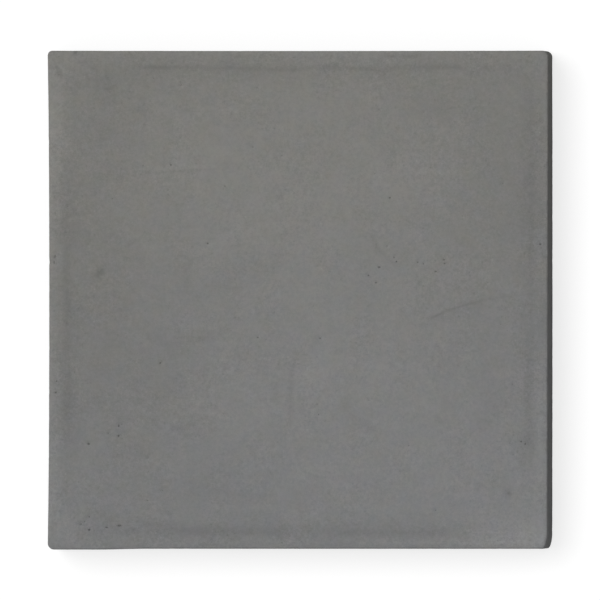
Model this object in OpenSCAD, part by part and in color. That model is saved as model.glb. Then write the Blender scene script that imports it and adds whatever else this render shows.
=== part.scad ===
/* [Slab] */
// Side of the square slab, in mm
slab_side = 305; // [200:1:400]
// Thickness of the stone
slab_thickness = 30; // [15:1:50]
// Radius of the four upright corners
corner_radius = 4; // [2:0.5:12]
// Width of the small bevel that eases every top and bottom edge
edge_bevel = 1; // [0.4:0.1:1.5]

/* [Feet] */
// Diameter of a rubber foot where it meets its adhesive disc
foot_diameter = 22; // [14:1:30]
// Height of a rubber foot
foot_height = 3; // [2:0.5:6]
// How much narrower the foot's lower end is than its top, in diameter
foot_taper = 2; // [0:0.5:4]
// Bevel around the foot's lower end
foot_bevel = 0.6; // [0.3:0.1:0.8]
// Distance from the slab's sides to the centre of each foot
foot_inset = 32; // [20:1:60]

/* [Adhesive discs] */
// Diameter of the foam adhesive disc on top of each foot
adhesive_diameter = 20; // [10:1:28]
// Thickness of the foam adhesive disc
adhesive_thickness = 0.6; // [0.4:0.1:1.2]

/* [Hidden] */

// Smoothness of round surfaces
$fn = 64;

// The feet stand on Z = 0, and the stone rests on the adhesive discs
slab_bottom = foot_height + adhesive_thickness;
// Distance from the middle of the slab to the centre of a corner's rounding
corner_offset = slab_side / 2 - corner_radius;
// Distance from the middle of the slab to the centre of a foot, along X and along Y
foot_offset = slab_side / 2 - foot_inset;

// Upright outline of half the slab from a middle plane to a side, bevelled at top and bottom.
// reach is the distance from that middle plane to the side.
module bevelled_half(reach) {
    polygon([
        [0, 0],
        [reach - edge_bevel, 0],
        [reach, edge_bevel],
        [reach, slab_thickness - edge_bevel],
        [reach - edge_bevel, slab_thickness],
        [0, slab_thickness]
    ]);
}

// Block that spans the full width along X and stops where the rounded corners begin along Y
module slab_block() {
    rotate([90, 0, 0])
        linear_extrude(height = 2 * corner_offset, center = true)
            union() {
                bevelled_half(slab_side / 2);
                mirror([1, 0]) bevelled_half(slab_side / 2);
            }
}

// Quarter column that fills one upright corner, with the same bevels turned around it
module slab_corner() {
    translate([corner_offset, corner_offset, 0])
        rotate_extrude(angle = 90)
            bevelled_half(corner_radius);
}

module slab() {
    color([0.48, 0.48, 0.47])
        translate([0, 0, slab_bottom])
            union() {
                slab_block();
                rotate([0, 0, 90]) slab_block();
                for (turn = [0:90:270])
                    rotate([0, 0, turn]) slab_corner();
            }
}

// Tapered rubber foot at one corner; side_x and side_y are -1 or 1
module foot(side_x, side_y) {
    top_r = foot_diameter / 2;
    low_r = top_r - foot_taper / 2;
    color([0.1, 0.1, 0.1])
        translate([side_x * foot_offset, side_y * foot_offset, 0])
            rotate_extrude()
                polygon([
                    [0, 0],
                    [low_r - foot_bevel, 0],
                    [low_r, foot_bevel],
                    [top_r, foot_height],
                    [0, foot_height]
                ]);
}

// Thin foam disc that glues one foot to the stone; side_x and side_y are -1 or 1
module adhesive(side_x, side_y) {
    color([0.75, 0.75, 0.72])
        translate([side_x * foot_offset, side_y * foot_offset, foot_height])
            cylinder(d = adhesive_diameter, h = adhesive_thickness);
}

slab();
foot(-1, -1);  // foot_front_left
foot(1, -1);  // foot_front_right
foot(-1, 1);  // foot_back_left
foot(1, 1);  // foot_back_right
adhesive(-1, -1);  // adhesive_front_left
adhesive(1, -1);  // adhesive_front_right
adhesive(-1, 1);  // adhesive_back_left
adhesive(1, 1);  // adhesive_back_right
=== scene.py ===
"""The looks of a square stone tooling slab on four rubber feet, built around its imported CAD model.

Shapes are worked out in millimetres, in the model's own frame (+Z up, the working face on top, the
front towards -Y), and turned into metres when a mesh is made.
"""

import math

import bpy
import numpy as np
from mathutils import Matrix, Vector, noise
from mathutils.geometry import delaunay_2d_cdt


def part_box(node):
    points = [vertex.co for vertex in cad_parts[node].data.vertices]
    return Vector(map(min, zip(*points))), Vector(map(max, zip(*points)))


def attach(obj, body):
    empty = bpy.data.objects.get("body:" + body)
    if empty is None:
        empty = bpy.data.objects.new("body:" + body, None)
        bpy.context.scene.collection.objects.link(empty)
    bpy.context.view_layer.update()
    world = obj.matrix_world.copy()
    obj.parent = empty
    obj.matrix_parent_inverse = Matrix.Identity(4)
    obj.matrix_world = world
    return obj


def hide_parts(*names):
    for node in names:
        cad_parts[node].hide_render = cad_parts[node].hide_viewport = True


MM = 0.001

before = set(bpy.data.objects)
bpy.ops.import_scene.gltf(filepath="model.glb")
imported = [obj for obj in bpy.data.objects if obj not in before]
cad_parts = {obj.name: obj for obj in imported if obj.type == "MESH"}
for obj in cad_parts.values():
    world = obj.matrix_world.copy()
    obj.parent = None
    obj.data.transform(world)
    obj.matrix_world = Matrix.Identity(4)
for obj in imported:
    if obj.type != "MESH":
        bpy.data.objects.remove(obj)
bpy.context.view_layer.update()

rng = np.random.default_rng(12)

# ---------------------------------------------------------------- sizes from the frame, in mm
slab_low, slab_high = [np.array(corner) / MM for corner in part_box("slab")]
HALF = (slab_high[0] - slab_low[0]) / 2
TOP = slab_high[2]
BOTTOM = slab_low[2]
FEET = ("front_left", "front_right", "back_left", "back_right")

# ---------------------------------------------------------------- the slab's shape, in mm
# The upright corners, anticlockwise from the back right: on which side of the middle each one lies
# along X and along Y, and its radii along X and along Y, which wear has made unequal
CORNERS = [
    ((1, 1), (3.7, 3.7)),
    ((-1, 1), (2.8, 2.8)),
    ((-1, -1), (4.0, 4.0)),
    ((1, -1), (2.8, 10.0)),
]
# Spacing of the mesh's points round the outline
OUTLINE_STEP = 0.8
# The left and right sides lie a little further out than the true square's, and the front and back
# sides further in, most of all at their right ends
WIDE = 0.65
NARROW = 0.45
SHORT_RIGHT = 0.4
# The left side is hollow. The right side's top edge leans out at the back and in at the front, and
# its foot draws in at both ends.
LEFT_HOLLOW = 1.0
RIGHT_LEAN = 0.3
RIGHT_ROUND = 0.16
# The front side reaches further at its left end; the step lies between these shares of HALF
FRONT_STEP = 0.5
FRONT_STEP_SPAN = (-0.8, -0.6)
# The back side lies further in still, and is slightly hollow
BACK_SHORT = 0.18
BACK_HOLLOW = 0.2
# How sharply the shape of one side fades out towards the slab's middle
SIDE_FADE = 8
# Radius of the eased edges round the working face and the underside, and how much it varies
TOP_ARRIS = 1.0
LOW_ARRIS = 0.9
ARRIS_WANDER = 0.3
ARRIS_RIPPLE = 0.18
SMALLEST_TOP_ARRIS = 0.35
SMALLEST_LOW_ARRIS = 0.3
LARGEST_ARRIS = 2.5
ARRIS_STEPS = 5
# The stone looks like the face down to the first of these depths, and like the sides below the second
FACE_TO_SIDE = (0.6, 1.6)
# The front right corner's top edge is worn rounder
WORN_CORNER = 1.5
WORN_REACH = 6.0
# The sides between the eased edges: rows of the mesh, roughness, and how far a bump may stand out
WALL_ROWS = 28
WALL_ROUGHNESS = 0.14
WALL_PROUD = 0.05
# The working face: its rim falls away to the edge, and its field lies a little lower
RIM_WIDTH = 9.0
RIM_FALL = 0.10
FIELD_START = 20.0
FIELD_DEPTH = 0.12
FACE_SWELL = 0.05
FACE_RIPPLE = 0.008
# The underside: its relief, and how far from a foot's centre that starts and is whole
UNDERSIDE_RELIEF = 0.04
FOOT_CLEARANCE = (12, 20)
# Spacing of the mesh's points on the working face and the underside, and how far the grids keep
# from the sides and from an air hole
FACE_STEP = 2.6
FACE_MARGIN = 3.5
UNDERSIDE_STEP = 5.0
UNDERSIDE_MARGIN = 6.0
PIT_GAP = 1.6
# The gap between the rows of a grid and how far its points stray, as shares of its step
GRID_ROW = 0.87
GRID_JITTER = 0.15
# Chips out of the top edge: place along the outline (x, y), half width, depth
CHIPS = [
    ((-135.0, HALF), 1.4, 1.0),
    ((HALF, 83.0), 1.3, 0.9),
    ((-HALF, 24.0), 1.8, 0.9),
    ((-HALF, -56.0), 1.4, 0.7),
    ((HALF, -92.0), 1.2, 0.8),
    ((-70.0, -HALF), 1.2, 0.6),
    ((44.0, -HALF), 1.0, 0.5),
]
# Small chips at random: how many round the top and the low edge, and their sizes
SMALL_CHIPS = 60
LOW_CHIPS = 40
CHIP_DEPTHS = (0.1, 0.45)
CHIP_HALF_WIDTHS = (0.7, 1.6)
# Air holes in the four sides: how many, how far from top and bottom, the smallest radius and how
# much larger they get, their depth as a share of the radius, and where their flanks start and end
WALL_HOLES = 110
WALL_HOLE_MARGIN = 3.0
WALL_HOLE_SMALLEST = 0.7
WALL_HOLE_SPREAD = 1.1
WALL_HOLE_DEPTH = 0.8
WALL_HOLE_FLANK = (0.3, 1.15)

# ---------------------------------------------------------------- marks on the working face, in mm
# Air holes in the working face that stand out: x, y, half length along X and along Y
PITS = [
    (50, 20, 1.25, 0.6), (48, 10.5, 0.6, 0.55), (43.5, 15, 0.55, 0.5), (59, 26, 0.55, 0.5),
    (60.5, 23.5, 0.6, 0.55), (73.5, 23, 0.45, 0.6), (77, 22, 0.35, 0.55), (89.5, 24.6, 0.5, 0.45),
    (89.7, 22.4, 0.75, 0.5), (84.3, 17.3, 0.9, 0.35), (56.5, 62.5, 0.8, 0.5), (-54.5, 34.5, 0.7, 0.55),
    (-77, 82.5, 0.55, 0.5), (-44, 69.5, 0.4, 0.4), (14, -23.5, 0.55, 0.5), (-24, -23, 0.5, 0.45),
    (-83.5, -38.5, 0.65, 0.55), (-109, -77, 0.5, 1.0), (-109, -83, 0.75, 0.85), (-127.5, -88, 0.85, 0.65),
    (13, -70, 0.45, 0.4), (136.5, -86.5, 0.6, 0.5), (139, -88, 0.4, 0.7), (148, 34, 0.85, 0.75),
    (54.7, 33, 0.45, 0.4), (68, -89, 0.4, 0.35), (84.5, -128.5, 0.4, 0.35), (-108.5, -138, 2.1, 0.6),
    (-116.3, -139, 1.2, 0.5), (-127, -140.5, 1.0, 0.6), (-132, -137, 0.4, 0.35),
    (-148.6, 26.5, 0.4, 1.5), (-149.2, 22.8, 0.35, 1.3), (-147.5, -49.5, 0.5, 0.7),
    (-148, -56.5, 0.55, 0.9), (-130, -135.5, 0.4, 0.35), (-127, -132.5, 0.35, 0.5),
]
# Small ones at random: how many, how far in from the sides, and their half lengths
SMALL_PITS = 40
SMALL_PIT_MARGIN = 6.0
SMALL_PIT_SIZES = (0.2, 0.33)
# Every air hole's depth as a share of its smaller half length, how ragged its lip is, and where
# its floor ends and its lip begins as shares of its half lengths
PIT_DEPTH = 0.55
PIT_RAGGED = 0.35
PIT_FLANK = (0.45, 1.15)
# The rings of mesh points round an air hole
PIT_RINGS = (0.45, 0.85, 1.3)
PIT_SIDES = 9

# Marks rubbed or scored into the face: start, bend, end, half width, change of tone
MARKS = [
    # scratches and rubbed strokes on the field
    ((81.5, -10.9), (95, -4.4), (112, -0.6), 0.75, -0.12),
    ((80.5, -11.4), (84, -10), (88, -8.3), 0.9, -0.10),
    ((74, -16), (94, -9), (118, 0), 3.0, -0.035),
    ((104, -2.5), (118, 2), (135, 2.5), 1.0, -0.05),
    ((45, 40), (51, 25.5), (62, 21.5), 1.4, -0.085),
    ((-89, 77.5), (-66, 79.5), (-45, 80), 0.7, -0.06),
    ((-89, 80), (-66, 82), (-45, 82), 1.1, 0.03),
    ((-61, 28), (-38, 46), (-2, 48), 1.8, 0.035),
    ((-4.5, -78), (-5, -44), (-1, -33), 1.8, -0.085),
    ((1, -36), (6, -32), (14, -33), 1.4, -0.035),
    ((-77, -79), (-67, -78), (-56, -70), 1.8, -0.07),
    ((-57, -26), (-56, -44), (-58, -62), 1.5, -0.035),
    ((-99, -14), (-78, -42), (-29, -8), 2.2, -0.04),
    ((-76, -24), (-66, -20), (-54, -26), 1.3, -0.05),
    ((28, -57), (27, -75), (51, -78), 2.3, -0.05),
    ((-67, 24), (-68, 15), (-67, 6), 1.6, -0.04),
    ((-93, 132), (-94, 108), (-93, 83), 2.2, -0.035),
    ((-11.5, 60.5), (-10.5, 63.5), (-9, 65.5), 1.5, -0.12),
    ((-123.5, 13), (-121, 17), (-117.5, 20), 2.3, -0.17),
    ((128, -117.4), (128.8, -118), (129.8, -118.4), 1.2, -0.14),
    # streaks and curls in the corners
    ((-147.6, 144.5), (-146.5, 140), (-146, 135.5), 0.9, -0.12),
    ((-145.5, 141.5), (-144, 138), (-144.5, 134.5), 0.8, -0.10),
    ((-128, 139), (-129.5, 136), (-125, 135), 0.9, -0.06),
    ((-119.5, 134), (-117.5, 137.5), (-114, 133.5), 1.0, -0.06),
    ((-117.5, 129.3), (-115.5, 129), (-113, 129.2), 0.8, -0.09),
    ((-136.6, 151.2), (-135.4, 151.2), (-134.2, 151.2), 0.8, -0.25),
    ((-149.8, -132), (-150.2, -138), (-149, -143), 0.8, -0.10),
    ((-148, -134), (-146.5, -139), (-148.3, -144), 0.8, -0.07),
    ((-151, -145.5), (-150.6, -147), (-150.6, -148.5), 0.9, -0.16),
    ((147, 125), (147.2, 122), (147, 119.5), 0.7, -0.07),
    ((150.3, 138), (150.4, 136), (150.3, 134), 0.7, -0.16),
    # the thin line along the back, in broken stretches
    ((-98, 142.3), (-78, 142.8), (-55, 142.2), 1.2, -0.075),
    ((-62, 142), (-36, 142.3), (-14, 141.3), 1.2, -0.055),
    ((-20, 141), (-6, 140.4), (7, 141.4), 1.3, -0.085),
    ((8, 141.8), (36, 143), (56, 139.5), 1.3, -0.075),
    ((66, 142), (85, 143.5), (104, 142), 1.5, -0.065),
    ((50, 148.8), (62, 149.6), (75, 149), 0.9, -0.12),
    ((-40, 149), (-30, 149.4), (-22, 149), 0.8, -0.05),
    # and along the front
    ((-104, -130), (-84, -142.5), (-52, -141.5), 3.0, -0.06),
    ((-66, -141.5), (-28, -142.5), (14, -142), 3.4, -0.045),
    ((8, -143), (50, -143), (98, -142.5), 2.4, -0.03),
    ((-60, -126), (-34, -127.5), (-6, -126), 2.6, 0.035),
    ((36, -148.5), (90, -149.5), (146, -148.5), 2.0, 0.075),
    # and up the sides
    ((-141, 30), (-141.5, 5), (-141, -30), 1.7, -0.035),
    ((143.5, 106), (143, 40), (142, -4), 1.5, -0.02),
    ((141, -30), (140, -55), (141, -88), 1.8, -0.04),
    ((138, -88), (138, -105), (137, -124), 1.4, -0.03),
    ((148.5, -20), (148.8, -75), (149, -125), 2.8, 0.05),
]

# Spacing of the mesh's points along a mark, and the rows' places across it in half widths
MARK_STEP = 1.1
MARK_ROWS = (-1.7, -0.8, 0, 0.8, 1.7)

# The dark line round the face: how far in from the edges it lies, its half width along the back,
# and how much wider it is along the left and right sides and the front
LINE_INSET = 10.8
LINE_HALF_WIDTH = 1.9
LINE_WIDER_BESIDE = 2.4
LINE_WIDER_FRONT = 1.6
LINE_DARKNESS = 0.05
SHOULDER_DARKNESS = 0.04
# Insets of the mesh's rows along that line, and the spacing of their points
LINE_ROWS = (7, 8.5, 9.6, 10.8, 12, 13.3, 15)
LINE_STEP = 2.2

# Painted light at the eased edges, as changes of tone: a painted highlight at the left and the back,
# painted shade at the front, and how far in from the edges it reaches
LEFT_EDGE_HIGHLIGHT = 0.12
BACK_EDGE_HIGHLIGHT = 0.10
FRONT_EDGE_SHADE = -0.09
PAINTED_EDGE_REACH = 1.4

# Broad soft patches in the tone of the face: x, y, radius along X and Y, change of tone
PATCHES = [
    # the field: lighter in the middle, darker on the left and at the upper right
    (5, 10, 95, 105, 0.054), (-104, -48, 42, 75, -0.05), (-125, 4, 25, 50, -0.035),
    (-127, 104, 12, 34, -0.045), (-126, 34, 10, 34, -0.035), (-66, 8, 42, 26, -0.034),
    (125, 74, 30, 80, -0.055), (112, -21, 30, 50, -0.025), (91, 123, 30, 16, -0.035),
    (-58, -115, 45, 14, -0.025), (33, -109, 60, 22, 0.018), (-73, 117, 28, 18, 0.012),
    (98, -130, 48, 20, 0.024), (-30, -122, 55, 6, -0.022), (16, 123, 35, 20, 0.015),
    (-42, 141, 50, 12, -0.02), (-43, 84, 34, 24, 0.032), (45, 74, 16, 13, 0.045),
    (-112, 90, 16, 62, -0.036), (-62, -141, 50, 7, -0.032), (12, -50, 36, 26, 0.022),
    (-65, 70, 14, 14, 0.02), (64, 70, 12, 16, 0.02), (-119, -131, 9, 6, -0.045),
    (66, 55, 12, 8, 0.02), (85, 80, 12, 26, 0.028), (9, -44, 10, 9, 0.045),
    (-19, -68, 28, 18, 0.035), (22, -66, 8, 8, 0.03), (45, -63, 9, 16, 0.035),
    (76, -73, 24, 32, 0.03), (100, -99, 16, 8, 0.03), (-75, -30, 14, 7, -0.02),
    (44, 131, 12, 9, -0.03), (15, -128, 12, 12, -0.03), (56, -139, 50, 8, -0.034),
    # stains that stand out
    (-116, 131, 6, 5, -0.08), (-106, 131, 3.5, 5, 0.035), (-96, 115, 9, 10, -0.03),
    (-113, 125, 9, 8, -0.03), (-108.5, -80, 3, 7, -0.05), (-95, -92, 7, 4, -0.035),
    (128.8, -117.7, 2.6, 2.4, -0.14), (126, -114, 7, 6, -0.02), (138, -86, 6, 5, -0.05),
    (-109, -137, 8, 4, -0.06), (-137.5, 80, 5, 8, -0.05), (-134.5, 43, 7, 12, -0.04),
    (-139, -64, 4, 9, -0.05), (141, 53, 9, 16, -0.03), (135, 82, 9, 9, -0.025),
    (147, 12, 8, 38, -0.03), (151, -12, 3, 24, -0.06), (151, 24, 3, 12, -0.03),
    # the rim, rubbed lighter at three corners
    (140, -147, 30, 14, 0.16), (143, -120, 15, 26, 0.06), (-147, 112, 9, 38, 0.12),
    (-145, -126, 9, 25, 0.09),
    # and darker along the back and the upper right
    (-98, 138, 34, 14, -0.03), (60, 143, 60, 10, -0.022), (146, 60, 9, 90, -0.022),
]

# ---------------------------------------------------------------- the feet and the discs, in mm
# The rubber feet: how much their radius shrinks downwards, the roundings of their lower and upper
# rims, and the cup and the grip grooves underneath
FOOT_TAPER = 1.0
LOW_ROUND = 0.6
TOP_ROUND = 0.2
CUP_RADIUS = 3.2
CUP_LIP = 0.4
CUP_DEPTH = 0.5
GROOVE_RINGS = (5.2, 7.2)
GROOVE_RADIUS = 0.35
# The foam discs: how far their side bulges in the middle and is pinched in at its rims
DISC_BULGE = 0.12
DISC_PINCH = 0.15
BULGE_STEPS = 6


# ---------------------------------------------------------------- numbers
def smooth(low, high, value):
    """0 below low, 1 above high, and a smooth rise between them."""
    t = np.clip((value - low) / (high - low), 0, 1)
    return t * t * (3 - 2 * t)


def wander(points, size, octaves=3, seed=0.0):
    """Smooth noise, about -1 to 1, at each point; size is the width of its blotches."""
    shift = Vector((seed, seed * 1.7, seed * 2.3))
    return np.array([noise.fractal(Vector(p) / size + shift, 1.0, 2.0, octaves) for p in points])


def flat(xy):
    """Points in the plane as points in space."""
    return np.column_stack([xy, np.zeros(len(xy))])


def edge_distance(xy, radius):
    """Distance in from the sides of the slab's square, with corners rounded to radius."""
    q = np.abs(xy) - (HALF - radius)
    outside = np.hypot(np.maximum(q[:, 0], 0), np.maximum(q[:, 1], 0))
    return radius - outside - np.minimum(q.max(1), 0)


# ---------------------------------------------------------------- the slab's outline
def corner_arc(k):
    """Points and outward directions round upright corner k."""
    sides, radii = np.array(CORNERS[k], float)
    steps = math.ceil(max(radii) * math.pi / 2 / OUTLINE_STEP)
    turns = np.radians(90 * (k + np.arange(steps + 1) / steps))
    outward = np.column_stack([np.cos(turns), np.sin(turns)])
    return sides * (HALF - radii) + outward * radii, outward


def outline():
    """Points and outward directions round the slab from above, anticlockwise from the right side."""
    arcs = [corner_arc(k) for k in range(4)]
    points, directions = [], []
    for k, (bend, outward) in enumerate(arcs):
        start, end = bend[-1], arcs[(k + 1) % 4][0][0]
        count = round(np.linalg.norm(end - start) / OUTLINE_STEP)
        shares = np.arange(1, count)[:, None] / count
        points += [bend, start + (end - start) * shares]
        directions += [outward, np.repeat(outward[-1:], count - 1, axis=0)]
    return np.vstack(points), np.vstack(directions)


def settle(points):
    """Moves points of the true square to where the real, slightly uneven slab has them."""
    u, v = points[:, 0] / HALF, points[:, 1] / HALF
    depth = (TOP - points[:, 2]) / (TOP - BOTTOM)
    left, right = np.clip(-u, 0, 1) ** SIDE_FADE, np.clip(u, 0, 1) ** SIDE_FADE
    front, back = np.clip(-v, 0, 1) ** SIDE_FADE, np.clip(v, 0, 1) ** SIDE_FADE
    moved = points.copy()
    moved[:, 0] += WIDE * u + LEFT_HOLLOW * (1 - np.abs(v) ** 2.5) * left
    moved[:, 0] += (RIGHT_LEAN * v * (1 - depth) - RIGHT_ROUND * np.abs(v) ** 3 * depth) * right
    moved[:, 1] -= (NARROW + SHORT_RIGHT * (1 + u) / 2) * v
    moved[:, 1] += FRONT_STEP * smooth(*FRONT_STEP_SPAN, u) * front
    moved[:, 1] -= (BACK_SHORT + BACK_HOLLOW * (1 - u**2)) * back
    return moved


def small_chips(points, count):
    """Extra size of an eased edge at each point of the outline, from small chips at random places."""
    extra = np.zeros(len(points))
    for k in rng.integers(0, len(points), count):
        gap = np.linalg.norm(points - points[k], axis=1)
        depth = rng.uniform(*CHIP_DEPTHS)
        half_width = rng.uniform(*CHIP_HALF_WIDTHS)
        extra += depth * np.exp(-((gap / half_width) ** 2))
    return extra


def top_arris(points):
    """Radius of the eased top edge at each point of the outline, larger where it is chipped or worn."""
    where = flat(points)
    sizes = TOP_ARRIS + ARRIS_WANDER * wander(where, 22) + ARRIS_RIPPLE * wander(where, 3.5, seed=5)
    for place, half_width, depth in CHIPS:
        gap = np.linalg.norm(points - np.array(place), axis=1)
        sizes += depth * np.exp(-((gap / half_width) ** 4))
    sizes += small_chips(points, SMALL_CHIPS)
    gap = np.linalg.norm(points - (HALF, -HALF), axis=1)
    sizes += WORN_CORNER * np.exp(-((gap / WORN_REACH) ** 2))
    return np.clip(sizes, SMALLEST_TOP_ARRIS, LARGEST_ARRIS)


def low_arris(points):
    """Radius of the eased edge round the underside."""
    sizes = LOW_ARRIS + ARRIS_WANDER * wander(flat(points), 15, seed=8) + small_chips(points, LOW_CHIPS)
    return np.clip(sizes, SMALLEST_LOW_ARRIS, LARGEST_ARRIS)


def wall_holes(points):
    """Air holes in the sides, as rows of x, y, z, radius."""
    places = points[rng.integers(0, len(points), WALL_HOLES)]
    heights = rng.uniform(BOTTOM + WALL_HOLE_MARGIN, TOP - WALL_HOLE_MARGIN, WALL_HOLES)
    radii = WALL_HOLE_SMALLEST + WALL_HOLE_SPREAD * rng.uniform(0, 1, WALL_HOLES) ** 3
    return np.column_stack([places, heights, radii])


def wall_dent(where, holes):
    """How far the air holes sink the sides at each point."""
    dent = np.zeros(len(where))
    for *place, radius in holes:
        reach = np.linalg.norm(where - place, axis=1) / radius
        here = 1 - smooth(*WALL_HOLE_FLANK, reach)
        dent = np.maximum(dent, WALL_HOLE_DEPTH * radius * here)
    return dent


# ---------------------------------------------------------------- the working face
def all_pits():
    """The air holes of the working face, listed and random, as rows of x, y and half lengths."""
    reach = HALF - SMALL_PIT_MARGIN
    small = np.column_stack([
        rng.uniform(-reach, reach, SMALL_PITS),
        rng.uniform(-reach, reach, SMALL_PITS),
        rng.uniform(*SMALL_PIT_SIZES, SMALL_PITS),
        rng.uniform(*SMALL_PIT_SIZES, SMALL_PITS),
    ])
    return np.vstack([np.array(PITS), small])


def pit_share(xy, pits):
    """How far into an air hole each point lies, 0 at the face to 1 at its floor, and the depth there."""
    share, depth = np.zeros(len(xy)), np.zeros(len(xy))
    ragged = 1 + PIT_RAGGED * wander(flat(xy), 0.9, octaves=2, seed=31)
    for x, y, half_x, half_y in pits:
        reach = ragged * np.hypot((xy[:, 0] - x) / half_x, (xy[:, 1] - y) / half_y)
        here = 1 - smooth(*PIT_FLANK, reach)
        share = np.maximum(share, here)
        depth = np.maximum(depth, here * PIT_DEPTH * min(half_x, half_y))
    return share, depth


def pit_points(pits):
    """A centre point and three rings for each air hole, so that the mesh follows it."""
    rings = []
    for x, y, half_x, half_y in pits:
        rings.append((x, y))
        for ring in PIT_RINGS:
            turn = rng.uniform(0, 1)
            for i in range(PIT_SIDES):
                a = 2 * math.pi * (i + turn) / PIT_SIDES
                rings.append((x + half_x * ring * math.cos(a), y + half_y * ring * math.sin(a)))
    return np.array(rings)


def face_height(xy):
    """Height of the working face above or below its nominal plane, its air holes left out."""
    where = flat(xy)
    inset = edge_distance(xy, 8)
    height = -RIM_FALL * (1 - smooth(0, RIM_WIDTH, inset))
    height -= FIELD_DEPTH * smooth(RIM_WIDTH, FIELD_START, inset)
    return height + FACE_SWELL * wander(where, 60, seed=2) + FACE_RIPPLE * wander(where, 8, seed=3)


def mark_path(start, bend, end, steps=14):
    """Points along a mark, a curve from start to end pulled towards bend."""
    t = np.linspace(0, 1, steps)[:, None]
    return (1 - t) ** 2 * np.array(start) + 2 * t * (1 - t) * np.array(bend) + t**2 * np.array(end)


def path_distance(xy, path):
    """Distance from each point to a path, and how far along it the nearest place is, 0 to 1."""
    nearest, along = np.full(len(xy), 1e9), np.zeros(len(xy))
    for i, (a, b) in enumerate(zip(path[:-1], path[1:])):
        t = np.clip(((xy - a) @ (b - a)) / ((b - a) @ (b - a)), 0, 1)
        gap = np.linalg.norm(xy - a - t[:, None] * (b - a), axis=1)
        closer = gap < nearest
        nearest[closer] = gap[closer]
        along[closer] = (i + t[closer]) / (len(path) - 1)
    return nearest, along


def mark_points():
    """Extra points of the face's mesh along the marks."""
    rows = []
    for start, bend, end, half_width, _ in MARKS:
        path = mark_path(start, bend, end, 2 + round(math.dist(start, end) / MARK_STEP))
        tangents = np.gradient(path, axis=0)
        tangents /= np.linalg.norm(tangents, axis=1)[:, None]
        sideways = np.column_stack([-tangents[:, 1], tangents[:, 0]])
        for row in MARK_ROWS:
            rows.append(path + sideways * row * half_width)
    return np.vstack(rows)


def line_points():
    """Extra points of the face's mesh along the dark line near its edges."""
    rows = []
    for inset in LINE_ROWS:
        reach = HALF - inset
        along = np.linspace(-reach, reach, round(2 * reach / LINE_STEP), endpoint=False)
        side = np.full(len(along), reach)
        rows += [
            np.column_stack([along, side]), np.column_stack([side, -along]),
            np.column_stack([-along, -side]), np.column_stack([-side, along]),
        ]
    return np.vstack(rows)


def dark_line(xy):
    """A soft, broken dark line round the face: thin along the back, broader along the other sides."""
    where = flat(xy)
    u, v = xy[:, 0] / HALF, xy[:, 1] / HALF
    inset = edge_distance(xy, 12) + 0.8 * wander(where, 45, seed=23)
    beside = smooth(-0.05, 0.05, np.abs(u) - np.abs(v))
    front = (1 - beside) * smooth(0, 0.1, -v)
    half_width = LINE_HALF_WIDTH + LINE_WIDER_BESIDE * beside + LINE_WIDER_FRONT * front
    broken = np.clip(1 + 0.8 * wander(where, 26, seed=11), 0.2, 1.8)
    line = np.exp(-(((inset - LINE_INSET) / half_width) ** 2)) * broken
    corners = smooth(0.76, 0.92, np.minimum(np.abs(u), np.abs(v)))
    left_back = smooth(0.42, 0.6, v) * smooth(0.6, 0.7, -u)
    right = smooth(0.6, 0.7, u)
    front_right = smooth(0.6, 0.7, -v) * smooth(0.55, 0.7, u)
    line *= (1 - 0.85 * corners) * (1 - 0.7 * left_back)
    return line * (1 - 0.3 * right) * (1 - 0.6 * front_right)


def shoulder(xy):
    """A faint shade from the dark line inwards, strongest along the left and right sides."""
    inset = edge_distance(xy, 26)
    beside = smooth(-0.05, 0.05, (np.abs(xy[:, 0]) - np.abs(xy[:, 1])) / HALF)
    return smooth(6.5, 10, inset) * (1 - smooth(12, 26, inset)) * (0.35 + 0.65 * beside)


def painted_edge_light(xy):
    """Painted light close to the edges, as a change of tone: a painted highlight at the left and the
    back, painted shade at the front.
    """
    u, v = xy[:, 0] / HALF, xy[:, 1] / HALF
    left = smooth(0, 0.03, -u - np.abs(v))
    back = smooth(0, 0.03, v - np.abs(u))
    front = smooth(0, 0.03, -v - np.abs(u))
    reach = np.maximum(edge_distance(xy, 4), 0) / PAINTED_EDGE_REACH
    return np.exp(-reach) * (LEFT_EDGE_HIGHLIGHT * left + BACK_EDGE_HIGHLIGHT * back + FRONT_EDGE_SHADE * front)


def face_tone(xy):
    """How light each point of the working face is beside its average: 1 for no change."""
    # the tone includes the painted highlight and painted shade at the eased edges
    tone = 1 - LINE_DARKNESS * dark_line(xy) - SHOULDER_DARKNESS * shoulder(xy) + painted_edge_light(xy)
    for x, y, rx, ry, change in PATCHES:
        # a patch has faded away at three times its radii
        spread = ((xy[:, 0] - x) / rx) ** 2 + ((xy[:, 1] - y) / ry) ** 2
        near = spread < 9
        ragged = 1 + 0.5 * wander(flat(xy[near]), 0.6 * (rx + ry), octaves=2, seed=x)
        tone[near] += change * np.exp(-spread[near] * np.maximum(ragged, 0.3))
    for start, bend, end, half_width, change in MARKS:
        gap, along = path_distance(xy, mark_path(start, bend, end))
        fade = smooth(-0.02, 0.25, along) * (1 - smooth(0.75, 1.02, along)) + 0.25
        tone += change * fade * np.exp(-((gap / half_width) ** 2))
    return tone


def fill_loop(loop, inner):
    """Triangulates the inside of a closed loop together with the points inner.

    Returns the triangles, whose corners count through the loop's points and then through inner.
    """
    both = [Vector(p) for p in np.vstack([loop, inner])]
    found = delaunay_2d_cdt(both, [], [list(range(len(loop)))], 1, 1e-5)
    source = [members[0] for members in found[3]]
    return [[source[i] for i in face] for face in found[2]]


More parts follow.
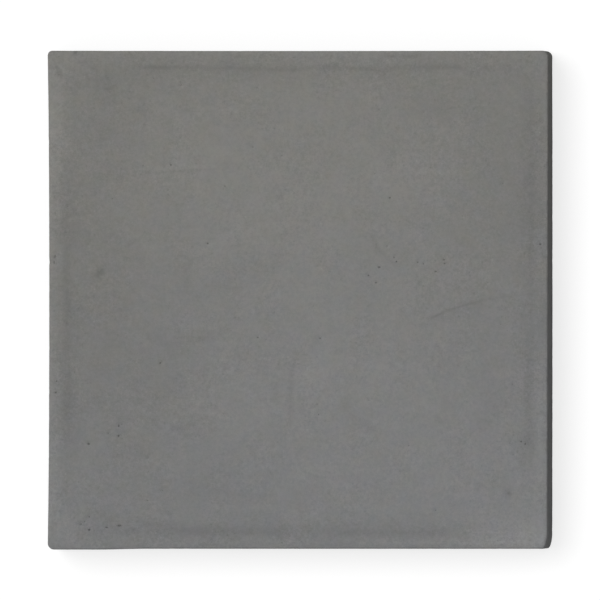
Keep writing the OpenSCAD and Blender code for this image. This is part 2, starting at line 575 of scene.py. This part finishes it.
def grid_points(step, margin):
    """A slightly irregular triangular grid of points that keeps margin from the slab's sides."""
    rows = np.arange(-HALF, HALF, step * GRID_ROW)
    points = []
    for k, y in enumerate(rows):
        x = np.arange(-HALF + (k % 2) * step / 2, HALF, step)
        points.append(np.column_stack([x, np.full(len(x), y)]))
    points = np.vstack(points)
    points += rng.uniform(-GRID_JITTER, GRID_JITTER, points.shape) * step
    return points[edge_distance(points, 4) > margin]


def thin(points, others, gap):
    """The points that keep at least gap from all the others."""
    keep = np.ones(len(points), bool)
    for other in others:
        keep &= np.hypot(points[:, 0] - other[0], points[:, 1] - other[1]) > gap
    return points[keep]


# ---------------------------------------------------------------- meshes
def make_object(name, points, faces, material, scale=MM):
    """A smooth-shaded mesh object from points in mm."""
    mesh = bpy.data.meshes.new(name)
    mesh.from_pydata((np.asarray(points) * scale).tolist(), [], faces)
    mesh.polygons.foreach_set("use_smooth", [True] * len(mesh.polygons))
    mesh.materials.append(material)
    mesh.validate()
    mesh.update()
    piece = bpy.data.objects.new(name, mesh)
    bpy.context.scene.collection.objects.link(piece)
    return piece


def set_attribute(piece, name, values):
    """Stores one number at each vertex for the material to read."""
    attribute = piece.data.attributes.new(name, "FLOAT", "POINT")
    attribute.data.foreach_set("value", np.asarray(values, np.float32))


def slab_rings(points, outward):
    """The slab's outer surface as rings of points, from the working face's rim to the underside's."""
    top_sizes, low_sizes, holes = top_arris(points), low_arris(points), wall_holes(points)
    rings = []

    def add_ring(inset, height, share):
        where = np.column_stack([points, height])
        hollows = wander(where, 9, octaves=4, seed=4) ** 2
        rough = WALL_ROUGHNESS * (hollows + 0.25 * wander(where, 2.5, seed=6))
        sunk = inset + share * (np.maximum(rough, -WALL_PROUD) + wall_dent(where, holes))
        rings.append(np.column_stack([points - outward * sunk[:, None], height]))

    rim_height = TOP + face_height(points - outward * top_sizes[:, None])
    for i in range(ARRIS_STEPS + 1):
        a = math.pi / 2 * i / ARRIS_STEPS
        add_ring(top_sizes * (1 - math.sin(a)), rim_height - top_sizes * (1 - math.cos(a)), math.sin(a))
    wall_top, wall_low = rim_height - top_sizes, BOTTOM + low_sizes
    for i in range(1, WALL_ROWS):
        add_ring(np.zeros(len(points)), wall_top + (wall_low - wall_top) * i / WALL_ROWS, 1.0)
    for i in range(ARRIS_STEPS + 1):
        a = math.pi / 2 * i / ARRIS_STEPS
        add_ring(low_sizes * (1 - math.cos(a)), BOTTOM + low_sizes * (1 - math.sin(a)), math.cos(a))
    return rings


def ring_faces(ring_count, size):
    """Quads that join each ring of points to the next one."""
    faces = []
    for r in range(ring_count - 1):
        for i in range(size):
            j = (i + 1) % size
            faces.append((r * size + i, (r + 1) * size + i, (r + 1) * size + j, r * size + j))
    return faces


def face_points(pits):
    """Points of the working face's mesh inside its eased edge: closest at the air holes and marks."""
    fixed = np.vstack([pit_points(pits), mark_points()])
    fixed = fixed[edge_distance(fixed, 4) > LARGEST_ARRIS + 0.3]
    grid = np.vstack([grid_points(FACE_STEP, FACE_MARGIN), line_points()])
    return np.vstack([fixed, thin(grid, pits, PIT_GAP)])


def make_slab(material):
    """The stone: a pitted, slightly dished face, worn edges, rough sides and a sawn underside."""
    points, outward = outline()
    pits = all_pits()
    rings = slab_rings(points, outward)
    size = len(points)
    faces = ring_faces(len(rings), size)

    face_xy = face_points(pits)
    top_start = len(rings) * size
    top_index = list(range(size)) + list(range(top_start, top_start + len(face_xy)))
    faces += [[top_index[i] for i in f] for f in fill_loop(rings[0][:, :2], face_xy)]

    low_xy = grid_points(UNDERSIDE_STEP, UNDERSIDE_MARGIN)
    low_start = top_start + len(face_xy)
    last = (len(rings) - 1) * size
    low_index = list(range(last, last + size)) + list(range(low_start, low_start + len(low_xy)))
    faces += [[low_index[i] for i in reversed(f)] for f in fill_loop(rings[-1][:, :2], low_xy)]

    share, sunk = pit_share(face_xy, pits)
    face_z = TOP + face_height(face_xy) - sunk
    low_z = BOTTOM + underside_height(low_xy)
    every = np.vstack(rings + [np.column_stack([face_xy, face_z]), np.column_stack([low_xy, low_z])])
    piece = make_object("stone_slab", settle(every), faces, material)

    on_face = 1 - smooth(*FACE_TO_SIDE, TOP - every[:, 2])
    on_face[low_start:] = 0
    tone = np.ones(len(every))
    lit = on_face > 0
    tone[lit] = face_tone(every[lit, :2])
    pit = np.zeros(len(every))
    pit[top_start:low_start] = share
    set_attribute(piece, "tone", 1 + (tone - 1) * on_face)
    set_attribute(piece, "side", 1 - on_face)
    # how far into an air hole each point lies; the material darkens it there as painted shade
    set_attribute(piece, "pit", pit)
    return piece


def underside_height(xy):
    """Relief of the sawn underside, which is flat where a foot is glued on."""
    relief = UNDERSIDE_RELIEF * (1 + wander(flat(xy), 20, seed=14))
    for name in FEET:
        low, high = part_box("adhesive_" + name)
        centre = (np.array(low) + np.array(high)) / 2 / MM
        gap = np.hypot(xy[:, 0] - centre[0], xy[:, 1] - centre[1])
        relief *= smooth(*FOOT_CLEARANCE, gap)
    return relief


def lathe(name, profile, centre, material, segments=72):
    """Turns an outline of (radius, height) pairs about an upright axis, on which it starts and ends."""
    points = [(centre[0], centre[1], profile[0][1])]
    for radius, height in profile[1:-1]:
        for i in range(segments):
            a = 2 * math.pi * i / segments
            points.append((centre[0] + radius * math.cos(a), centre[1] + radius * math.sin(a), height))
    points.append((centre[0], centre[1], profile[-1][1]))
    last = len(points) - 1
    faces = [(1 + i, 0, 1 + (i + 1) % segments) for i in range(segments)]
    for r in range(len(profile) - 3):
        for i in range(segments):
            j = (i + 1) % segments
            a, b = 1 + r * segments, 1 + (r + 1) * segments
            faces.append((a + i, a + j, b + j, b + i))
    rim = last - segments
    faces += [(rim + i, rim + (i + 1) % segments, last) for i in range(segments)]
    return make_object(name, points, faces, material)


def arc(centre_r, centre_z, radius, start, end, steps=6):
    """Points of a round stretch of a lathe outline; the angles are in degrees."""
    turns = [math.radians(start + (end - start) * i / steps) for i in range(steps + 1)]
    return [(centre_r + radius * math.cos(a), centre_z + radius * math.sin(a)) for a in turns]


def make_foot(name, material):
    """A rubber foot: tapered and rounded, with a shallow cup and two grip grooves underneath."""
    low, high = [np.array(c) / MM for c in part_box("foot_" + name)]
    centre = (low + high) / 2
    top_r, height = (high[0] - low[0]) / 2, high[2]
    low_r = top_r - FOOT_TAPER
    profile = [(0, CUP_DEPTH), (CUP_RADIUS * 0.6, CUP_DEPTH)]
    profile += [(CUP_RADIUS, CUP_DEPTH * 0.4), (CUP_RADIUS + CUP_LIP, 0)]
    for ring_r in GROOVE_RINGS:
        profile += arc(ring_r, 0, GROOVE_RADIUS, 180, 0)
    profile += arc(low_r - LOW_ROUND, LOW_ROUND, LOW_ROUND, -90, 5)
    profile.append((top_r - 0.25, height - 0.5))
    profile += arc(top_r - TOP_ROUND, height - TOP_ROUND, TOP_ROUND, 0, 90, 4)
    profile.append((0, height))
    return lathe("bumper_" + name, profile, centre, material)


def make_adhesive(name, material):
    """A foam disc, pressed so that its side bulges a little."""
    low, high = [np.array(c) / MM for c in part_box("adhesive_" + name)]
    centre = (low + high) / 2
    radius, base, thick = (high[0] - low[0]) / 2, low[2], high[2] - low[2]
    profile = [(0, base), (radius - DISC_PINCH, base)]
    for i in range(1, BULGE_STEPS):
        rise = i / BULGE_STEPS
        profile.append((radius + DISC_BULGE * math.sin(math.pi * rise), base + thick * rise))
    profile += [(radius - DISC_PINCH, base + thick), (0, base + thick)]
    return lathe("adhesive_disc_" + name, profile, centre, material)


# ---------------------------------------------------------------- materials
# The stone is cooler towards the front and warmer towards the back
COOL_GREY = (0.1378, 0.1392, 0.1395, 1)
WARM_GREY = (0.1412, 0.1392, 0.1295, 1)
BLACK_RUBBER = (0.013, 0.013, 0.014, 1)
DUSTY_RUBBER = (0.035, 0.034, 0.033, 1)
DARK_FOAM = (0.42, 0.41, 0.37, 1)
PALE_FOAM = (0.62, 0.61, 0.57, 1)
FLOOR_GREY = (0.30, 0.30, 0.30, 1)
FLOOR_GLOW = 0.71


class Graph:
    """Adds nodes to one material and wires them, so that a material reads as a list of steps."""

    def __init__(self, name):
        self.material = bpy.data.materials.new(name)
        self.material.use_nodes = True
        self.tree = self.material.node_tree
        self.shader = self.tree.nodes["Principled BSDF"]

    def add(self, kind, settings=None, **inputs):
        """A node of a kind, with its settings and with its inputs set or linked."""
        node = self.tree.nodes.new("ShaderNode" + kind)
        for key, value in (settings or {}).items():
            setattr(node, key, value)
        for key, value in inputs.items():
            self.put(node.inputs[key.replace("_", " ")], value)
        return node

    def put(self, socket, value):
        """Links a socket to another node's output, or sets it to a value."""
        if isinstance(value, bpy.types.NodeSocket):
            self.tree.links.new(value, socket)
        else:
            socket.default_value = value

    def math(self, operation, a, b=0.0):
        """One arithmetic step on two numbers."""
        node = self.tree.nodes.new("ShaderNodeMath")
        node.operation = operation
        self.put(node.inputs[0], a)
        self.put(node.inputs[1], b)
        return node.outputs[0]

    def times(self, a, b):
        """The product of two numbers."""
        return self.math("MULTIPLY", a, b)

    def total(self, *values):
        """The sum of several numbers."""
        result = values[0]
        for value in values[1:]:
            result = self.math("ADD", result, value)
        return result

    def object_point(self, stretch=(1, 1, 1)):
        """The place on the object in metres, stretched along each axis."""
        place = self.add("TexCoord").outputs["Object"]
        return self.add("Mapping", Vector=place, Scale=stretch).outputs[0]

    def reach(self, point):
        """The larger of the distances from the middle along X and along Y."""
        axes = self.add("SeparateXYZ", Vector=point)
        across = [self.math("ABSOLUTE", axes.outputs[k]) for k in (0, 1)]
        return self.math("MAXIMUM", *across)

    def blotches(self, point, size, detail=2.0, roughness=0.5, distortion=0.0):
        """Smooth noise from 0 to 1; size is the width of its blotches in mm."""
        node = self.add(
            "TexNoise", Vector=point, Scale=1 / (size * MM), Detail=detail, Roughness=roughness,
            Distortion=distortion,
        )
        return node.outputs[0]

    def sway(self, point, size, amount, detail=2.0, distortion=0.0):
        """Smooth noise around zero, from about -amount to amount."""
        spread = self.blotches(point, size, detail, 0.5, distortion)
        return self.times(self.math("SUBTRACT", spread, 0.5), 4 * amount)

    def specks(self, point, spacing, radius, share):
        """1 in small round spots, 0 elsewhere: a share of the places that lie spacing apart has one."""
        cells = self.add("TexVoronoi", Vector=point, Scale=1 / (spacing * MM))
        chance = self.add("SeparateColor", Color=cells.outputs["Color"]).outputs[0]
        spot = self.ramp(cells.outputs["Distance"], 0.3 * radius / spacing, radius / spacing, 1.0, 0.0)
        return self.times(spot, self.math("LESS_THAN", chance, share))

    def ramp(self, value, low, high, at_low=0.0, at_high=1.0):
        """Carries value from the span low to high over to at_low to at_high, and holds it there."""
        node = self.add(
            "MapRange", {"interpolation_type": "SMOOTHSTEP"}, Value=value, From_Min=low, From_Max=high,
            To_Min=at_low, To_Max=at_high,
        )
        return node.outputs[0]

    def attribute(self, name):
        """The number that the mesh stores at each vertex under a name."""
        return self.add("Attribute", {"attribute_name": name}).outputs["Fac"]

    def blend(self, factor, a, b):
        """Colour a where factor is 0 and colour b where it is 1."""
        node = self.add("Mix", {"data_type": "RGBA"})
        self.put(node.inputs[0], factor)
        self.put(node.inputs[6], a)
        self.put(node.inputs[7], b)
        return node.outputs[2]

    def scale_colour(self, colour, factor):
        """A colour made brighter or darker."""
        node = self.add("VectorMath", {"operation": "SCALE"})
        self.put(node.inputs[0], colour)
        self.put(node.inputs["Scale"], factor)
        return node.outputs[0]

    def bump(self, height, depth, strength=1.0, before=None):
        """A bump of a depth in mm, on top of an earlier bump."""
        node = self.add("Bump", Strength=strength, Distance=depth * MM, Height=height)
        if before is not None:
            self.put(node.inputs["Normal"], before)
        return node.outputs[0]


def stone_clouds(g, point):
    """Soft, cloudy variation of the stone's tone, with faint streaks along X and along Y."""
    return g.total(
        g.sway(point, 85, 0.012, 1.0, 0.6),
        g.sway(point, 34, 0.019, 1.0, 0.4),
        g.sway(point, 14, 0.023, 2.0),
        g.sway(g.object_point((1.0, 0.2, 1.0)), 4, 0.008),
        g.sway(g.object_point((0.2, 1.0, 1.0)), 4, 0.008),
    )


def stone_grain(g, point):
    """Fine grain with small dark and pale flecks, uneven in strength and coarser near the rim."""
    grain = g.total(
        g.sway(point, 4.2, 0.029, 1.0),
        g.sway(point, 1.8, 0.043, 0.0),
        g.sway(point, 0.8, 0.046, 0.0),
        g.times(g.specks(point, 2.4, 0.85, 0.22), -0.085),
        g.times(g.specks(point, 2.9, 0.8, 0.18), 0.09),
    )
    uneven = g.ramp(g.blotches(point, 22), 0.35, 0.65, 0.75, 1.3)
    near_rim = g.ramp(g.reach(point), (HALF - 25) * MM, (HALF - 4) * MM, 1.0, 1.35)
    return g.times(g.times(grain, uneven), near_rim)


def wall_pattern(g, point):
    """What the rough sides have on top: blotches, upright streaks, and dark and pale flecks."""
    return g.total(
        g.sway(point, 16, 0.11, 4.0),
        g.sway(g.object_point((1.0, 1.0, 0.12)), 2.6, 0.045, 1.0),
        g.sway(point, 2.2, 0.06, 2.0),
        g.times(g.specks(point, 2.6, 1.1, 0.35), -0.30),
        g.times(g.specks(point, 5.0, 2.1, 0.30), 0.14),
    )


def stone_hue(g, point):
    """The stone's colour: cool grey drifting to warm towards the back, faintly mottled."""
    uphill = g.add("VectorMath", {"operation": "DOT_PRODUCT"})
    g.put(uphill.inputs[0], point)
    g.put(uphill.inputs[1], (-0.25, 1.0, 0.0))
    drift = g.math("DIVIDE", uphill.outputs["Value"], 2 * HALF * MM)
    drift = g.total(drift, g.sway(point, 60, 0.10, 2.0, 0.5), 0.5)
    hue = g.blend(g.ramp(drift, 0.0, 1.0), COOL_GREY, WARM_GREY)
    reddish = g.total(g.sway(point, 7, 0.026, 2.0), g.sway(point, 20, 0.012), 1.0)
    bluish = g.total(g.sway(g.object_point((1, 1, -1)), 9, 0.038, 2.0), 1.0)
    mottled = g.add("VectorMath", {"operation": "MULTIPLY"})
    g.put(mottled.inputs[0], hue)
    g.put(mottled.inputs[1], g.add("CombineXYZ", X=reddish, Y=1.0, Z=bluish).outputs[0])
    return mottled.outputs[0]


def stone_material():
    """Fine-grained grey stone, honed matt on the face, darker and rougher on the sides."""
    g = Graph("honed_grey_stone")
    point = g.object_point()
    side = g.attribute("side")
    pit = g.attribute("pit")

    brightness = g.total(stone_clouds(g, point), stone_grain(g, point), 1.0)
    brightness = g.total(brightness, g.times(side, wall_pattern(g, point)))
    brightness = g.times(brightness, g.attribute("tone"))
    brightness = g.times(brightness, g.ramp(side, 0.0, 1.0, 1.0, 0.85))
    # darker towards the floor of each air hole: painted shade in the hollows
    brightness = g.times(brightness, g.ramp(pit, 0.0, 1.0, 1.0, 0.6))
    g.put(g.shader.inputs["Base Color"], g.scale_colour(stone_hue(g, point), brightness))

    rough = g.total(
        0.62,
        g.sway(point, 12, 0.05),
        g.sway(point, 1.5, 0.04),
        g.times(side, 0.14),
        g.times(pit, 0.2),
    )
    g.put(g.shader.inputs["Roughness"], rough)
    fine = g.bump(g.blotches(point, 0.9, 3.0), 0.03, 0.35)
    broad = g.bump(g.blotches(point, 5.0, 4.0), 0.08, 0.3, fine)
    coarse = g.times(side, g.blotches(point, 2.4, 4.0, 0.6))
    g.put(g.shader.inputs["Normal"], g.bump(coarse, 0.35, 0.7, broad))
    g.shader.inputs["Specular IOR Level"].default_value = 0.35
    return g.material


def rubber_material():
    """Black moulded rubber with a dusty bloom."""
    g = Graph("black_rubber")
    point = g.object_point()
    dust = g.ramp(g.blotches(point, 4, 4.0, 0.6), 0.45, 0.75)
    g.put(g.shader.inputs["Base Color"], g.blend(dust, BLACK_RUBBER, DUSTY_RUBBER))
    g.put(g.shader.inputs["Roughness"], g.ramp(dust, 0.0, 1.0, 0.55, 0.85))
    g.put(g.shader.inputs["Normal"], g.bump(g.blotches(point, 0.6, 2.0), 0.02, 0.4))
    return g.material


def foam_material():
    """Off-white closed-cell foam tape."""
    g = Graph("foam_tape")
    point = g.object_point()
    cells = g.blotches(point, 0.5, 2.0)
    g.put(g.shader.inputs["Base Color"], g.blend(cells, DARK_FOAM, PALE_FOAM))
    g.put(g.shader.inputs["Roughness"], g.ramp(cells, 0.0, 1.0, 0.7, 0.95))
    g.put(g.shader.inputs["Normal"], g.bump(cells, 0.05, 0.5))
    return g.material


def floor_material():
    """A light table: it glows evenly white to the camera, but throws little light onto the slab."""
    g = Graph("light_table")
    g.shader.inputs["Base Color"].default_value = FLOOR_GREY
    g.shader.inputs["Roughness"].default_value = 0.9
    g.shader.inputs["Specular IOR Level"].default_value = 0.0
    g.shader.inputs["Emission Color"].default_value = (1, 1, 1, 1)
    seen = g.add("LightPath").outputs["Is Camera Ray"]
    g.put(g.shader.inputs["Emission Strength"], g.times(seen, FLOOR_GLOW))
    return g.material


# ---------------------------------------------------------------- studio
# The camera's angle off the vertical in degrees, and its focal length and the width it sees, in mm
CAMERA_TIP = 6.6
CAMERA_LENS = 1200
VIEW_WIDTH = 365.4


def make_floor(material):
    """A plain floor that fills every view; its reach is in metres."""
    reach = 30.0
    corners = [(-reach, -reach, 0), (reach, -reach, 0), (reach, reach, 0), (-reach, reach, 0)]
    return make_object("floor", corners, [(0, 1, 2, 3)], material, scale=1.0)


def make_lamp(name, towards_light, strength, spread):
    """A distant soft light; spread is the angle that it fills in the sky, in degrees."""
    light = bpy.data.lights.new(name, "SUN")
    light.energy = strength
    light.angle = math.radians(spread)
    lamp = bpy.data.objects.new(name, light)
    lamp.rotation_euler = Vector(towards_light).to_track_quat("Z", "Y").to_euler()
    bpy.context.scene.collection.objects.link(lamp)


def make_light():
    """A soft key light from the back left, a weak fill from the front, and even light all round."""
    make_lamp("key", towards_light=(-0.42, 0.28, 1.0), strength=1.85, spread=40)
    make_lamp("fill", towards_light=(0.0, -1.0, 0.45), strength=0.30, spread=60)
    world = bpy.data.worlds.new("studio")
    world.use_nodes = True
    background = world.node_tree.nodes["Background"]
    background.inputs["Color"].default_value = (1.0, 1.0, 1.0, 1)
    background.inputs["Strength"].default_value = 0.61
    bpy.context.scene.world = world


def make_camera():
    """A long lens above the slab, tipped just far enough that the slab's right side shows."""
    tip = math.radians(CAMERA_TIP)
    camera = bpy.data.cameras.new("camera")
    camera.lens = CAMERA_LENS
    camera.clip_end = 30
    distance = VIEW_WIDTH * MM * camera.lens / camera.sensor_width
    away = Vector((math.sin(tip), 0, math.cos(tip)))
    up = Vector((0, 1, 0))
    axes = Matrix((up.cross(away), up, away)).transposed()
    target = Vector((0, 0, (TOP + BOTTOM) / 2 * MM))
    holder = bpy.data.objects.new("camera", camera)
    holder.matrix_world = Matrix.Translation(target + away * distance) @ axes.to_4x4()
    bpy.context.scene.collection.objects.link(holder)
    bpy.context.scene.camera = holder


# ---------------------------------------------------------------- the scene
make_camera()
make_light()
make_floor(floor_material())
bpy.context.scene.view_settings.view_transform = "Standard"

slab = make_slab(stone_material())
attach(slab, "root")
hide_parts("slab")

rubber, foam = rubber_material(), foam_material()
for place in FEET:
    bumper = make_foot(place, rubber)
    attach(bumper, "root")
    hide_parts("foot_" + place)
    disc = make_adhesive(place, foam)
    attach(disc, "root")
    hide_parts("adhesive_" + place)
